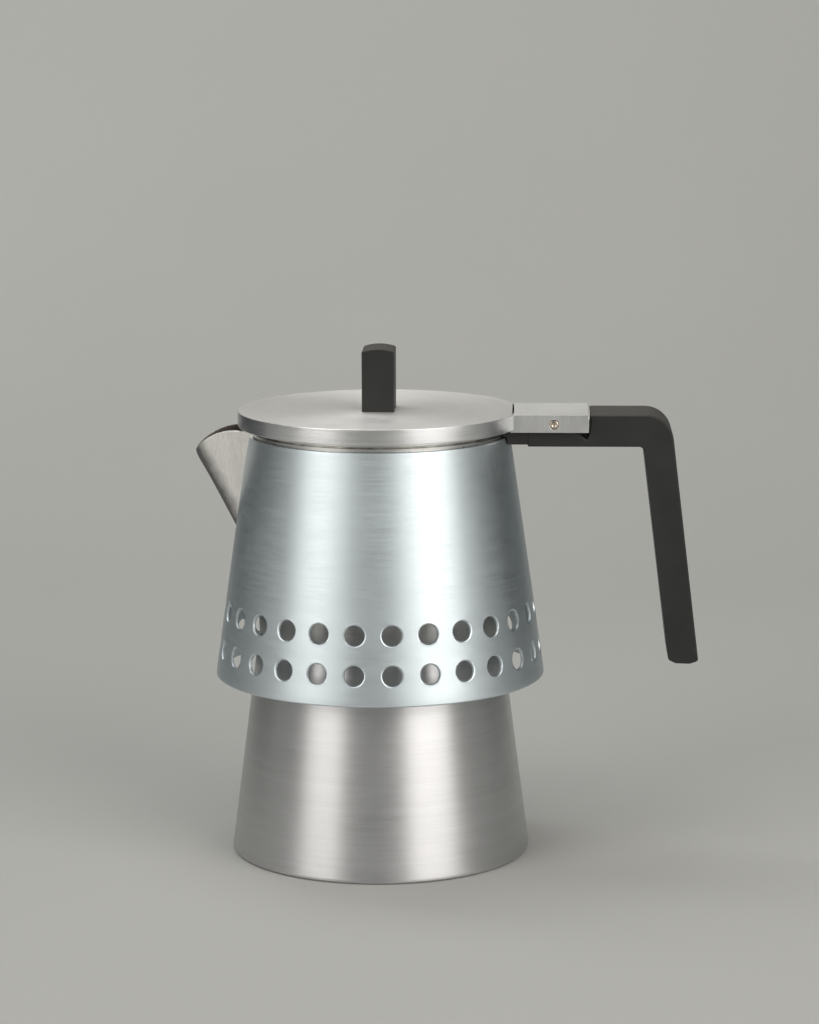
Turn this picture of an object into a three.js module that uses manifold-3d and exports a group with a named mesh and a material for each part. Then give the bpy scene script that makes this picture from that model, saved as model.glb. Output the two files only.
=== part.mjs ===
// Stovetop moka pot: conical boiler, inner coffee vessel inside a perforated conical skirt,
// folded sheet spout, thumb-lift lid and a bar handle. Millimetres, +Z up.
// The pot's axis is Z, the table is z = 0, the handle points to +X and the spout to -X.
import * as THREE from 'three';
import { mergeVertices } from 'three/addons/utils/BufferGeometryUtils.js';
import Module from 'manifold-3d';

const wasm = await Module();
wasm.setup();

// ---------------------------------------------------------------- driving dimensions
const GAP = 0.3;              // clearance between pieces that touch
const ROUND = 48;             // sides of a large turned piece
const FINE = 16;              // sides of a small turned piece

const BASE_R = 52.5;          // boiler radius on the table
const BOILER_SLOPE = 0.1292;  // radius lost per millimetre of height
const BOILER_WALL = 1.8;
const SHOULDER_Z = 77.6;      // top of the boiler's cone
const NECK_R = 35;            // crest radius of the boiler's thread
const NECK_BORE = 32.5;
const NECK_TOP = 90;

const SKIRT_LOW_Z = 63.1;
const SKIRT_LOW_R = 57.52;
const SKIRT_TOP_Z = 147.7;
const SKIRT_TOP_R = 45.4;
const SKIRT_WALL = 0.9;
const HOLES_PER_ROW = 27;
const HOLE_R = 3.5;
const HOLE_ROWS = [73.5, 86.9];
const HOLE_TURN = THREE.MathUtils.degToRad(3.45);   // the first hole stands this far round from -X

const COLLAR_BORE = 35.5;     // collector's threaded collar, round the boiler's neck
const COLLAR_R = 42.3;
const RECESS_R = 30.6;        // recess of the filter plate
const FLOOR_Z = 99.2;         // inside floor of the coffee vessel
const VESSEL_R = 44.2;        // outside, at the rim
const VESSEL_BORE = 42.9;
const RIM_Z = 150.4;

const TUBE_BORE = 2.8;        // water tube and brew column
const COLUMN_TOP = 132;

const LID_R = 49.1;
const LID_LOW = 150.8;
const LID_TOP = 156.1;
const SLIT_X = 46.3;          // slit between the disc's flat and the hinge channel
const CHANNEL_X = 46.9;
const CHANNEL_END = 72.6;
const CHANNEL_HALF = 15;
const CHANNEL_LOW = 150;
const WEB = 1.15;             // thickness of the channel's top
const PIN = new THREE.Vector2(60.7, 152.8);
const PIN_R = 1.1;
const OPEN_ANGLE = THREE.MathUtils.degToRad(35);

const ARM_HALF = 12;          // the handle is a flat bar, 24 wide
const ARM_LOW = 144.7;
const ARM_TOP = 155.7;
const ARM_START = 51.6;
const BRACKET_TOP = 150.3;
const CORNER_R = 9.5;
const GRIP_SLOPE = 0.12;      // outward lean, millimetres per millimetre down
const GRIP_INNER_X = 92.1;    // inner face of the grip at the underside of the arm
const GRIP_WIDTH = 10;        // measured level, along X
const GRIP_LOW = 69.9;
const SCREW_X = [55.5, 62];

const KNOB = { x: 11.2, y: 17, low: LID_TOP + GAP, top: 178 };

const SPOUT_TIP = new THREE.Vector2(-63.9, 142.3);
const FOLD_SLOPE = 0.513;     // how far the fold runs inwards per millimetre down
const SPOUT_HALF_ANGLE = THREE.MathUtils.degToRad(26.6);
const SHEET = 1;              // spout sheet thickness
const SPOUT_LIP_Z = 150.2;

const VALVE_Z = 45;           // safety valve on the back of the boiler
const VALVE_FACE = 47.9;      // its flange, from the pot's axis

// ---------------------------------------------------------------- materials
function material(color, roughness, metalness) {
  return new THREE.MeshStandardMaterial({ color, roughness, metalness });
}
const satinBlue = material(0xb4bfc4, 0.38, 0.9);
const brushedGrey = material(0xa8a6a3, 0.42, 0.9);
const turnedLid = material(0xbdb8b2, 0.5, 0.85);
const steel = material(0x9a9a98, 0.35, 1);
const brass = material(0xb08d57, 0.35, 1);
const blackBar = material(0x2f2f2d, 0.55, 0.1);
const sealRubber = material(0xd8d2c4, 0.8, 0);

// ---------------------------------------------------------------- geometry helpers
// Merges shared vertices, drops collapsed triangles and turns the faces outwards.
function clean(geometry) {
  geometry.deleteAttribute('normal');
  geometry.deleteAttribute('uv');
  const merged = mergeVertices(geometry, 1e-4);
  const position = merged.attributes.position;
  const kept = [];
  let volume = 0;
  const a = new THREE.Vector3();
  const b = new THREE.Vector3();
  const c = new THREE.Vector3();
  for (let i = 0; i < merged.index.count; i += 3) {
    const corners = [0, 1, 2].map((k) => merged.index.getX(i + k));
    if (new Set(corners).size < 3) continue;
    a.fromBufferAttribute(position, corners[0]);
    b.fromBufferAttribute(position, corners[1]);
    c.fromBufferAttribute(position, corners[2]);
    volume += a.dot(b.cross(c));
    kept.push(...corners);
  }
  if (volume < 0) kept.reverse();
  merged.setIndex(kept);
  return merged;
}

function toSolid(geometry) {
  const closed = clean(geometry);
  return new wasm.Manifold(new wasm.Mesh({
    numProp: 3,
    vertProperties: new Float32Array(closed.attributes.position.array),
    triVerts: new Uint32Array(closed.index.array),
  }));
}

function toGeometry(solid) {
  const mesh = solid.getMesh();
  const geometry = new THREE.BufferGeometry();
  geometry.setAttribute('position', new THREE.BufferAttribute(mesh.vertProperties, 3));
  geometry.setIndex(new THREE.BufferAttribute(mesh.triVerts, 1));
  return geometry;
}

function cut(geometry, tools) {
  return toGeometry(tools.reduce((left, tool) => left.subtract(toSolid(tool)), toSolid(geometry)));
}

function join(geometry, others) {
  return toGeometry(others.reduce((sum, other) => sum.add(toSolid(other)), toSolid(geometry)));
}

// Turned solid about Z from an [r, z] profile; a ring's profile closes on itself.
function turned(profile, sides = ROUND) {
  const points = profile.map(([r, z]) => new THREE.Vector2(r, z));
  const isRing = points[0].x > 0;
  if (isRing) points.push(points[0].clone());
  return clean(new THREE.LatheGeometry(points, sides).rotateX(Math.PI / 2));
}

function rod(radius, low, high, sides = FINE) {
  return turned([[0, low], [radius, low], [radius, high], [0, high]], sides);
}

function block(x0, x1, y0, y1, z0, z1) {
  const box = new THREE.BoxGeometry(x1 - x0, y1 - y0, z1 - z0);
  return box.translate((x0 + x1) / 2, (y0 + y1) / 2, (z0 + z1) / 2);
}

// Extrudes a side view, drawn as x and z, across y from -half to half.
function sideways(shape, half, curveSegments = 12) {
  const geometry = new THREE.ExtrudeGeometry(shape, { depth: 2 * half, bevelEnabled: false, curveSegments });
  return clean(geometry.rotateX(Math.PI / 2).translate(0, half, 0));
}

function outline(points) {
  return new THREE.Shape(points.map(([x, z]) => new THREE.Vector2(x, z)));
}

// A rod across the pot, along Y, through (x, z).
function crossRod(x, z, radius, half, sides = FINE) {
  return rod(radius, -half, half, sides).rotateX(Math.PI / 2).translate(x, 0, z);
}

function add(parent, name, geometry, finish) {
  const mesh = new THREE.Mesh(geometry, finish);
  mesh.name = name;
  parent.add(mesh);
  return mesh;
}

// ---------------------------------------------------------------- boiler
function boilerGeometry() {
  const at = (z) => BASE_R - BOILER_SLOPE * z;
  const valveHole = rod(4.3, 40, 60).rotateX(-Math.PI / 2).translate(0, 0, VALVE_Z);
  const shell = turned([
    [0, 0], [BASE_R - 1.2, 0], [at(1), 1], [at(75.8), 75.8], [at(75.8) - 1, SHOULDER_Z],
    [NECK_R, SHOULDER_Z], [NECK_R, NECK_TOP], [NECK_BORE, NECK_TOP], [NECK_BORE, 76.4],
    [at(73) - BOILER_WALL, 73], [at(4) - BOILER_WALL, 4], [at(4) - BOILER_WALL - 1.5, 2.5], [0, 2.5],
  ]);
  return cut(shell, [valveHole]);
}

// The valve is drawn with its own axis along Z, counted from the pot's axis.
function makeValve() {
  const valve = new THREE.Group();
  valve.rotation.x = -Math.PI / 2;
  valve.position.z = VALVE_Z;
  const flange = VALVE_FACE;
  const body = cut(
    join(rod(4, 42, flange + 1), [rod(7, flange, flange + 3.6, 6), rod(5, flange + 3, flange + 5.4)]),
    [rod(1.4, 41, 44), rod(2.6, 43.6, 60)],
  );
  add(valve, 'valve_body', body, brass);
  const poppet = [[0, 43.9], [2.1, 43.9], [2.1, 44.7], [0.8, 45], [0.8, 55], [0.5, 55.4], [0, 55.4]];
  add(valve, 'valve_poppet', turned(poppet, FINE), steel);
  add(valve, 'valve_spring', springGeometry(45.5, 50.2, 1.6), steel);
  add(valve, 'valve_retainer', turned([[1.2, 50.9], [2.3, 50.9], [2.3, 52.6], [1.2, 52.6]], FINE), brass);
  return valve;
}

// A wire helix between two heights on its axis.
function springGeometry(low, high, radius) {
  const wire = 0.3;
  const turns = 4;
  const helix = new THREE.Curve();
  helix.getPoint = (t, target = new THREE.Vector3()) => {
    const angle = t * turns * 2 * Math.PI;
    return target.set(radius * Math.cos(angle), radius * Math.sin(angle), low + (high - low) * t);
  };
  const section = new THREE.Shape().absarc(0, 0, wire, 0, 2 * Math.PI);
  const steps = 8 * turns;
  return clean(new THREE.ExtrudeGeometry(section, { steps, curveSegments: 3, extrudePath: helix }));
}

// ---------------------------------------------------------------- coffee basket and filters
function funnelGeometry() {
  const basketBore = 30.3;
  const basketR = 31.4;
  return turned([
    [TUBE_BORE, 6], [4.1, 6], [4.1, 63], [28.5, 68.6], [basketR, 70.6], [basketR, NECK_TOP + GAP],
    [NECK_R - 0.2, NECK_TOP + GAP], [NECK_R - 0.2, 91.3], [basketBore, 91.3], [basketBore, 71],
    [27, 71], [26, 69.4], [TUBE_BORE, 64.2],
  ], 40);
}

// Thin disc pierced by a centre hole and rings of six and twelve holes.
function piercedDisc(radius, low, high, holeR, ringStep) {
  const holes = [rod(holeR, low - 1, high + 1, 6)];
  for (const ring of [1, 2]) {
    for (let k = 0; k < 6 * ring; k += 1) {
      const angle = (k / (6 * ring)) * 2 * Math.PI;
      const hole = rod(holeR, low - 1, high + 1, 6);
      holes.push(hole.translate(ring * ringStep * Math.cos(angle), ring * ringStep * Math.sin(angle), 0));
    }
  }
  return cut(rod(radius, low, high, 40), holes);
}

// ---------------------------------------------------------------- spout
// Solid wedge inside the spout's fold. A positive offset moves its faces outwards.
function spoutWedge(offset, low, high) {
  const apex = offset / Math.sin(SPOUT_HALF_ANGLE);
  const reach = 36;
  const spread = (reach + apex) * Math.tan(SPOUT_HALF_ANGLE);
  const plan = outline([[-apex, 0], [reach, -spread], [reach, spread]]);
  const wedge = new THREE.ExtrudeGeometry(plan, { depth: high - low, bevelEnabled: false });
  const shear = new THREE.Matrix4().makeShear(0, 0, 0, 0, -FOLD_SLOPE, 0);
  wedge.applyMatrix4(shear);
  const foldX = SPOUT_TIP.x + (SPOUT_TIP.y - low) * FOLD_SLOPE;
  return clean(wedge.translate(foldX, 0, low));
}

// Everything above the spout's arched lip.
function aboveLip() {
  const lip = new THREE.Shape();
  lip.moveTo(-75, SPOUT_TIP.y - 1);
  lip.lineTo(SPOUT_TIP.x, SPOUT_TIP.y);
  lip.quadraticCurveTo(-56.6, SPOUT_LIP_Z, -49.2, SPOUT_LIP_Z);
  lip.lineTo(-40, 149.2);
  lip.lineTo(-20, 149.2);
  lip.lineTo(-20, 165);
  lip.lineTo(-75, 165);
  return sideways(lip, 30);
}

function spoutGeometry() {
  const inside = spoutWedge(-SHEET, 90, 162);
  const vesselSide = rod(VESSEL_R - GAP, 95, 140, ROUND);
  const rimSide = rod(VESSEL_R + GAP, 138, 165, ROUND);
  const heart = block(-30, 40, -40, 40, 90, 170);
  return cut(spoutWedge(0, 100, 155), [inside, vesselSide, rimSide, aboveLip(), heart]);
}

// ---------------------------------------------------------------- collector
function vesselGeometry() {
  const wall = turned([
    [6.3, 96.6], [RECESS_R, 96.6], [RECESS_R, 95.2], [COLLAR_BORE, 95.2], [COLLAR_BORE, 78.4],
    [COLLAR_R, 78.4], [42.5, 94], [43.2, 98], [43.6, 139], [VESSEL_R, 145], [VESSEL_R, RIM_Z],
    [VESSEL_BORE, RIM_Z], [VESSEL_BORE, 145], [42.3, 139], [41.9, 103], [40.6, 100.2], [38, FLOOR_Z],
    [6.3, FLOOR_Z],
  ]);
  return cut(wall, [spoutWedge(-SHEET - 0.2, 104, 158)]);
}

function skirtGeometry() {
  const sides = 2 * HOLES_PER_ROW;
  const shell = turned([
    [SKIRT_LOW_R, SKIRT_LOW_Z], [SKIRT_TOP_R, SKIRT_TOP_Z],
    [SKIRT_TOP_R - SKIRT_WALL, SKIRT_TOP_Z], [SKIRT_LOW_R - SKIRT_WALL, SKIRT_LOW_Z],
  ], sides).rotateZ(HOLE_TURN);
  const tools = [spoutWedge(GAP, 100, 158)];
  for (const z of HOLE_ROWS) {
    for (let k = 0; k < HOLES_PER_ROW; k += 1) {
      const drill = rod(HOLE_R, 48, 62, 8).rotateY(-Math.PI / 2).translate(0, 0, z);
      tools.push(drill.rotateZ(HOLE_TURN + (k / HOLES_PER_ROW) * 2 * Math.PI));
    }
  }
  return cut(shell, tools);
}

function columnGeometry() {
  const tube = turned([
    [TUBE_BORE, 96.6], [6, 96.6], [6, FLOOR_Z + GAP], [9.5, FLOOR_Z + GAP], [9.5, 101],
    [5.4, 103], [4.6, COLUMN_TOP], [TUBE_BORE, COLUMN_TOP],
  ], 20);
  return cut(tube, [block(-10, 10, -1.3, 1.3, 124, 129)]);
}

function capGeometry() {
  const profile = [[0, 130.4], [2.4, 130.4], [2.4, COLUMN_TOP + GAP], [6.6, COLUMN_TOP + GAP], [7, 133]];
  for (let k = 1; k <= 4; k += 1) {
    const angle = (k / 4) * (Math.PI / 2);
    profile.push([7 * Math.cos(angle) * (k < 4 ? 1 : 0), 133 + 4 * Math.sin(angle)]);
  }
  return turned(profile, 20);
}

// ---------------------------------------------------------------- handle
// Lug on the vessel's neck, with a tongue that runs inside the handle's arm.
function bracketGeometry() {
  const lug = block(38, ARM_START - GAP, -11.7, 11.7, 145.4, BRACKET_TOP);
  const tongue = block(50, 66, -8, 8, 146.8, 148.9);
  const clearances = [rod(46.05, 140, 148, 96), rod(VESSEL_R + GAP, 147, 152, 96)];
  clearances.push(block(30, 43, -14, 14, 140, 152));
  for (const x of SCREW_X) clearances.push(rod(1.8, 145.8, 150).translate(x, 0, 0));
  return cut(join(lug, [tongue]), clearances);
}

// Side view: arm with its knuckle and thumb recess, outer corner, leaning grip, crowned end.
function handleOutline() {
  const shape = new THREE.Shape();
  const knuckleR = PIN_R + 0.75;
  const cornerTop = new THREE.Vector2(CHANNEL_END - PIN.x, LID_TOP - PIN.y);
  const sweepR = cornerTop.length() + GAP;
  const reach = Math.sqrt(sweepR ** 2 - knuckleR ** 2);
  const slopeEnd = new THREE.Vector2(knuckleR, 0).rotateAround(new THREE.Vector2(), Math.PI / 2 - OPEN_ANGLE);
  slopeEnd.add(new THREE.Vector2(reach, 0).rotateAround(new THREE.Vector2(), -OPEN_ANGLE));
  const topAngle = Math.asin((ARM_TOP - PIN.y) / sweepR);
  const innerX = (z) => GRIP_INNER_X + (ARM_LOW - z) * GRIP_SLOPE;
  const outerX = (z) => innerX(z) + GRIP_WIDTH;
  const lean = Math.atan(GRIP_SLOPE);
  const cornerZ = ARM_TOP - CORNER_R;
  const cornerX = outerX(cornerZ) - CORNER_R / Math.cos(lean);
  const kneeLeft = Math.PI * 0.8;
  const fillet = 1.3;

  shape.moveTo(ARM_START, ARM_LOW);
  shape.lineTo(GRIP_INNER_X - fillet, ARM_LOW);
  shape.quadraticCurveTo(GRIP_INNER_X, ARM_LOW, innerX(ARM_LOW - fillet), ARM_LOW - fillet);
  shape.lineTo(innerX(GRIP_LOW + 0.8), GRIP_LOW + 0.8);
  shape.quadraticCurveTo(innerX(GRIP_LOW) + 5.4, GRIP_LOW - 3, outerX(GRIP_LOW), GRIP_LOW);
  shape.lineTo(outerX(cornerZ) + 0.1, cornerZ);
  shape.absarc(cornerX, cornerZ, CORNER_R, lean, Math.PI / 2, false);
  shape.lineTo(PIN.x + sweepR * Math.cos(topAngle), ARM_TOP);
  shape.absarc(PIN.x, PIN.y, sweepR, topAngle, slopeEnd.angle() - 2 * Math.PI, true);
  shape.absarc(PIN.x, PIN.y, knuckleR, Math.PI / 2 - OPEN_ANGLE, kneeLeft, false);
  shape.lineTo(PIN.x - 4, BRACKET_TOP);
  shape.lineTo(ARM_START, BRACKET_TOP);
  return shape;
}

function handleGeometry() {
  const tools = [block(ARM_START - 1, 66.3, -8.3, 8.3, 146.5, 149.2)];
  tools.push(crossRod(PIN.x, PIN.y, PIN_R + 0.25, ARM_HALF + 1));
  for (const x of SCREW_X) {
    tools.push(rod(1.8, 144, 147).translate(x, 0, 0));
    tools.push(rod(3.1, 144, 145.9).translate(x, 0, 0));
  }
  return cut(sideways(handleOutline(), ARM_HALF), tools);
}

function handleScrewGeometry() {
  return turned([[0, 144.8], [2.8, 144.8], [2.8, 145.6], [1.5, 145.9], [1.5, 148.9], [0, 148.9]], FINE);
}

// ---------------------------------------------------------------- lid
function lidDiscGeometry() {
  const disc = turned([
    [2.1, 153.4], [40.8, 153.4], [40.8, 148.6], [42.3, 148.6], [42.3, LID_LOW], [LID_R - 0.3, LID_LOW],
    [LID_R, LID_LOW + 0.3], [LID_R, LID_TOP - 0.3], [LID_R - 0.3, LID_TOP], [2.1, LID_TOP],
  ]);
  return cut(disc, [block(SLIT_X, 60, -12.3, 12.3, 140, 160)]);
}

// U-shaped channel, open below, whose cheeks straddle the handle.
function channelGeometry() {
  const cheekIn = ARM_HALF + GAP;
  const blank = block(CHANNEL_X, CHANNEL_END, -CHANNEL_HALF, CHANNEL_HALF, CHANNEL_LOW, LID_TOP);
  const slot = block(CHANNEL_X - 1, CHANNEL_END + 1, -cheekIn, cheekIn, CHANNEL_LOW - 1, LID_TOP - WEB);
  const rimClear = cut(rod(LID_R + GAP, 140, 160, 96), [block(30, 60, -12, 12, 130, 170)]);
  return cut(blank, [slot, rimClear, crossRod(PIN.x, PIN.y, 1.8, 20)]);
}

function pinGeometry() {
  const head = 1.5;
  const half = CHANNEL_HALF;
  const pin = turned([
    [0, -half], [head, -half], [head, -ARM_HALF - 0.5], [PIN_R, -ARM_HALF - 0.5],
    [PIN_R, ARM_HALF + 0.5], [head, ARM_HALF + 0.5], [head, half], [0, half],
  ], FINE);
  return pin.rotateX(Math.PI / 2);
}

function knobGeometry() {
  const halfX = KNOB.x / 2;
  const crown = new THREE.Shape();
  crown.moveTo(-halfX, KNOB.low);
  crown.lineTo(halfX, KNOB.low);
  crown.lineTo(halfX, KNOB.top - 0.9);
  crown.quadraticCurveTo(0, KNOB.top + 0.9, -halfX, KNOB.top - 0.9);
  return cut(sideways(crown, KNOB.y / 2, 6), [rod(2.1, KNOB.low - 1, 166.5)]);
}

function knobScrewGeometry() {
  return turned([
    [0, 149.9], [3.2, 149.9], [3.5, 150.3], [3.5, 151.8], [1.8, 151.8], [1.8, 166], [0, 166],
  ], FINE);
}

// ---------------------------------------------------------------- assembly
const mokaPot = new THREE.Group();

const lower = new THREE.Group();
add(lower, 'boiler', boilerGeometry(), brushedGrey);
lower.add(makeValve());
add(lower, 'funnel', funnelGeometry(), brushedGrey);
add(lower, 'funnel_filter', piercedDisc(30, 71.3, 72.1, 1.1, 10), steel);
mokaPot.add(lower);

const collector = new THREE.Group();
const gasket = [[27, 91.6], [35.2, 91.6], [35.2, 94.9], [27, 94.9]];
add(collector, 'filter_gasket', turned(gasket, 40), sealRubber);
add(collector, 'filter_plate', piercedDisc(30.3, 95.2, 96.3, 0.9, 10), steel);
add(collector, 'collector_vessel', vesselGeometry(), brushedGrey);
add(collector, 'brew_column', columnGeometry(), brushedGrey);
add(collector, 'column_cap', capGeometry(), brushedGrey);
add(collector, 'outer_skirt', skirtGeometry(), satinBlue);
add(collector, 'spout', spoutGeometry(), brushedGrey);
mokaPot.add(collector);

const handle = new THREE.Group();
add(handle, 'handle_bracket', bracketGeometry(), steel);
add(handle, 'handle', handleGeometry(), blackBar);
SCREW_X.forEach((x, index) => {
  const screw = add(handle, `handle_screw_${index + 1}`, handleScrewGeometry(), steel);
  screw.position.x = x;
});
collector.add(handle);

const lid = new THREE.Group();
add(lid, 'lid_disc', lidDiscGeometry(), turnedLid);
add(lid, 'lid_hinge_channel', channelGeometry(), turnedLid);
const pin = add(lid, 'hinge_pin', pinGeometry(), brass);
pin.position.set(PIN.x, 0, PIN.y);
add(lid, 'lid_knob', knobGeometry(), blackBar);
add(lid, 'knob_screw', knobScrewGeometry(), steel);
add(lid, 'knob_washer', turned([[2.1, 152.1], [4.5, 152.1], [4.5, 153.1], [2.1, 153.1]], FINE), steel);
collector.add(lid);

export default mokaPot;
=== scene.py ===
"""A stovetop moka pot: its fine pieces and finishes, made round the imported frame, in a plain studio."""
import math

import bmesh
import bpy
from mathutils import Matrix, Vector


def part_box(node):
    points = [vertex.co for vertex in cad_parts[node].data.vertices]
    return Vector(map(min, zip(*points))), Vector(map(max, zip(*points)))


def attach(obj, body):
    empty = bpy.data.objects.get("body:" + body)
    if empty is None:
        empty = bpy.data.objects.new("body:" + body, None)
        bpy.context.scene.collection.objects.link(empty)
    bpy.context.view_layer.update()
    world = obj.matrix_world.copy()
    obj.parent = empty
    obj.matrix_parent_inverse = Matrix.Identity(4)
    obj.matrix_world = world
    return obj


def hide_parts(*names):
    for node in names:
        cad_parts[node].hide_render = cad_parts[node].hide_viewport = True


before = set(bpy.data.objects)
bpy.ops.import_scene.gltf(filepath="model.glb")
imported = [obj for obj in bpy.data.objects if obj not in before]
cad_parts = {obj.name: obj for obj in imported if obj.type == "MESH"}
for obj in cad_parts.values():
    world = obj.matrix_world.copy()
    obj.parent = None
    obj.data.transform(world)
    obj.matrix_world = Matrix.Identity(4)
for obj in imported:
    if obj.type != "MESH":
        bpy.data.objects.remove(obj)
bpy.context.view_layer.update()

MM = 0.001               # pieces are drawn in millimetres and made in metres


def cad(node):
    """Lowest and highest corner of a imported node, in millimetres."""
    low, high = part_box(node)
    return low / MM, high / MM


# ------------------------------------------------------------------ sizes, in millimetres
BOILER_HIGH = cad("boiler")[1]
BOILER_TAPER = 0.1292            # radius lost per millimetre of height
BOILER_WALL = 1.8
BOILER_FLOOR = 2.5
SHOULDER_LOW = 75.8
SHOULDER_Z = 77.6
NECK_TOP = BOILER_HIGH.z
NECK_CORE = 34.2
NECK_BORE = 32.5
NECK_CREST = 34.95
COLLAR_CREST = 35.35             # inwards-facing crest of the collar's thread
SEAL_R = 35.05
THREAD_PITCH = 3.0

SKIRT_LOW, SKIRT_HIGH = cad("outer_skirt")
SKIRT_LOW_R = 57.6
SKIRT_TAPER = 0.1433
SKIRT_WALL = 0.9
HOLES_PER_ROW = 27
HOLE_R = 3.38
HOLE_ROWS = (73.5, 86.9)
HOLE_TURN = math.radians(3.45)    # the first hole stands this far round from -X
HOLE_SIDES = 32
HOLE_CHAMFER = 0.55

RIM_Z = cad("collector_vessel")[1].z
VESSEL_R = 44.2
FLOOR_Z = 99.2

LID_LOW, LID_HIGH = cad("lid_disc")
LID_R = -LID_LOW.x
LID_TOP = LID_HIGH.z
LID_UNDER = 150.8
LIP_LOW = LID_LOW.z
CHANNEL_LOW, CHANNEL_HIGH = cad("lid_hinge_channel")
CHANNEL_HALF = CHANNEL_HIGH.y
WEB = 1.15
PIN_LOW, PIN_HIGH = cad("hinge_pin")
PIN_X = (PIN_LOW.x + PIN_HIGH.x) / 2
PIN_Z = (PIN_LOW.z + PIN_HIGH.z) / 2
PIN_R = 1.1
PIN_HEAD = 1.5
OPEN_ANGLE = math.radians(35)

ARM_LOW_CORNER, ARM_HIGH_CORNER = cad("handle")
ARM_HALF = ARM_HIGH_CORNER.y
ARM_START = ARM_LOW_CORNER.x
ARM_TOP = ARM_HIGH_CORNER.z
ARM_LOW = 144.7
BRACKET_LOW, BRACKET_HIGH = cad("handle_bracket")
CORNER_R = 9.5
GRIP_SLOPE = 0.12
GRIP_INNER_X = 91.65
GRIP_WIDTH = 10.45
GRIP_LOW = 69.9
SCREW_X = (55.5, 62)

KNOB_LOW, KNOB_HIGH = cad("lid_knob")

TIP_X = cad("spout")[0].x
TIP_Z = 141.5
FOLD_SLOPE = 0.513               # how far the fold runs inwards per millimetre down
SPOUT_HALF_ANGLE = math.radians(17)
SHEET = 1.0
FOLD_SHADE_REACH = 6.8                 # how far the painted shade runs back from the fold
LIP_CREST = Vector((-49.2, 149.4))
LIP_END = Vector((-40.0, 148.6))

VALVE_Z = 45.0
VALVE_FACE = 47.9


# ------------------------------------------------------------------ mesh helpers
def arc(centre, radius, start, end, steps):
    """Points of a circular arc, angles in radians, both ends included."""
    turns = [start + (end - start) * k / steps for k in range(steps + 1)]
    return [(centre[0] + radius * math.cos(a), centre[1] + radius * math.sin(a)) for a in turns]


def eased(points, closed, steps=3):
    """Rounds the corners of a profile of (r, z, fillet) points with small arcs."""
    result = []
    count = len(points)
    for k, (r, z, fillet) in enumerate(points):
        corner = Vector((r, z))
        if not fillet or (not closed and k in (0, count - 1)):
            result.append(corner)
            continue
        before = Vector(points[k - 1][:2]) - corner
        after = Vector(points[(k + 1) % count][:2]) - corner
        half = before.angle(after) / 2
        reach = min(fillet / math.tan(half), before.length * 0.49, after.length * 0.49)
        start, end = corner + before.normalized() * reach, corner + after.normalized() * reach
        for step in range(steps + 1):
            t = step / steps
            result.append(start.lerp(corner, t).lerp(corner.lerp(end, t), t))
    return result


def turned(points, sides=180, steps=3):
    """A solid turned about Z from (r, z, fillet) points, axis to axis or closed on itself."""
    closed = points[0][0] > 0
    outline = eased(points, closed, steps)
    bm = bmesh.new()
    verts = [bm.verts.new((p.x, 0, p.y)) for p in outline]
    edges = [bm.edges.new(pair) for pair in zip(verts, verts[1:])]
    if closed:
        edges.append(bm.edges.new((verts[-1], verts[0])))
    bmesh.ops.spin(bm, geom=verts + edges, cent=(0, 0, 0), axis=(0, 0, 1), dvec=(0, 0, 0),
                   angle=2 * math.pi, steps=sides, use_merge=True, use_duplicate=False)
    return tidied(bm)


def tidied(bm):
    """Merges points that coincide and turns the faces outwards."""
    bmesh.ops.remove_doubles(bm, verts=bm.verts, dist=0.002)
    bmesh.ops.recalc_face_normals(bm, faces=bm.faces)
    return bm


def block(low, high):
    """A box between two corners."""
    bm = bmesh.new()
    size = Vector(high) - Vector(low)
    centre = (Vector(high) + Vector(low)) / 2
    bmesh.ops.create_cube(bm, size=1, matrix=Matrix.Translation(centre) @ Matrix.Diagonal((*size, 1)))
    return bm


def rod(radius, low, high, sides=48, place=(0, 0)):
    """An upright rod between two heights."""
    bm = bmesh.new()
    centre = Matrix.Translation((place[0], place[1], (low + high) / 2))
    bmesh.ops.create_cone(bm, cap_ends=True, segments=sides, radius1=radius, radius2=radius,
                          depth=high - low, matrix=centre)
    return bm


def moved(bm, matrix):
    """The same mesh, moved or turned by a matrix."""
    bmesh.ops.transform(bm, matrix=matrix, verts=bm.verts)
    return bm


def across(x, z):
    """Turns a piece drawn about Z so that it lies along Y, through x and z."""
    return Matrix.Translation((x, 0, z)) @ Matrix.Rotation(-math.pi / 2, 4, "X")


def slab(outline, half):
    """A side view of (x, z) points, extruded across y from -half to half."""
    bm = bmesh.new()
    face = bm.faces.new([bm.verts.new((x, -half, z)) for x, z in outline])
    grown = bmesh.ops.extrude_face_region(bm, geom=[face])["geom"]
    new_verts = [g for g in grown if isinstance(g, bmesh.types.BMVert)]
    bmesh.ops.translate(bm, vec=(0, 2 * half, 0), verts=new_verts)
    return tidied(bm)


def sharp_edges(bm, degrees):
    """The edges where two faces meet at more than an angle."""
    limit = math.radians(degrees)
    return [e for e in bm.edges if len(e.link_faces) == 2 and e.calc_face_angle(0) > limit]


def soften(bm, width, segments=2, degrees=30, keep=None):
    """Rounds the edges sharper than an angle, or those of them that keep() picks."""
    edges = [e for e in sharp_edges(bm, degrees) if keep is None or keep(e)]
    bmesh.ops.bevel(bm, geom=edges, offset=width, offset_type="OFFSET", segments=segments,
                    profile=0.5, affect="EDGES", material=-1, clamp_overlap=True)
    return bm


def as_object(bm, name):
    """Puts a mesh in the scene as an object and frees its bmesh."""
    mesh = bpy.data.meshes.new(name)
    bm.to_mesh(mesh)
    bm.free()
    piece = bpy.data.objects.new(name, mesh)
    bpy.context.scene.collection.objects.link(piece)
    return piece


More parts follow.
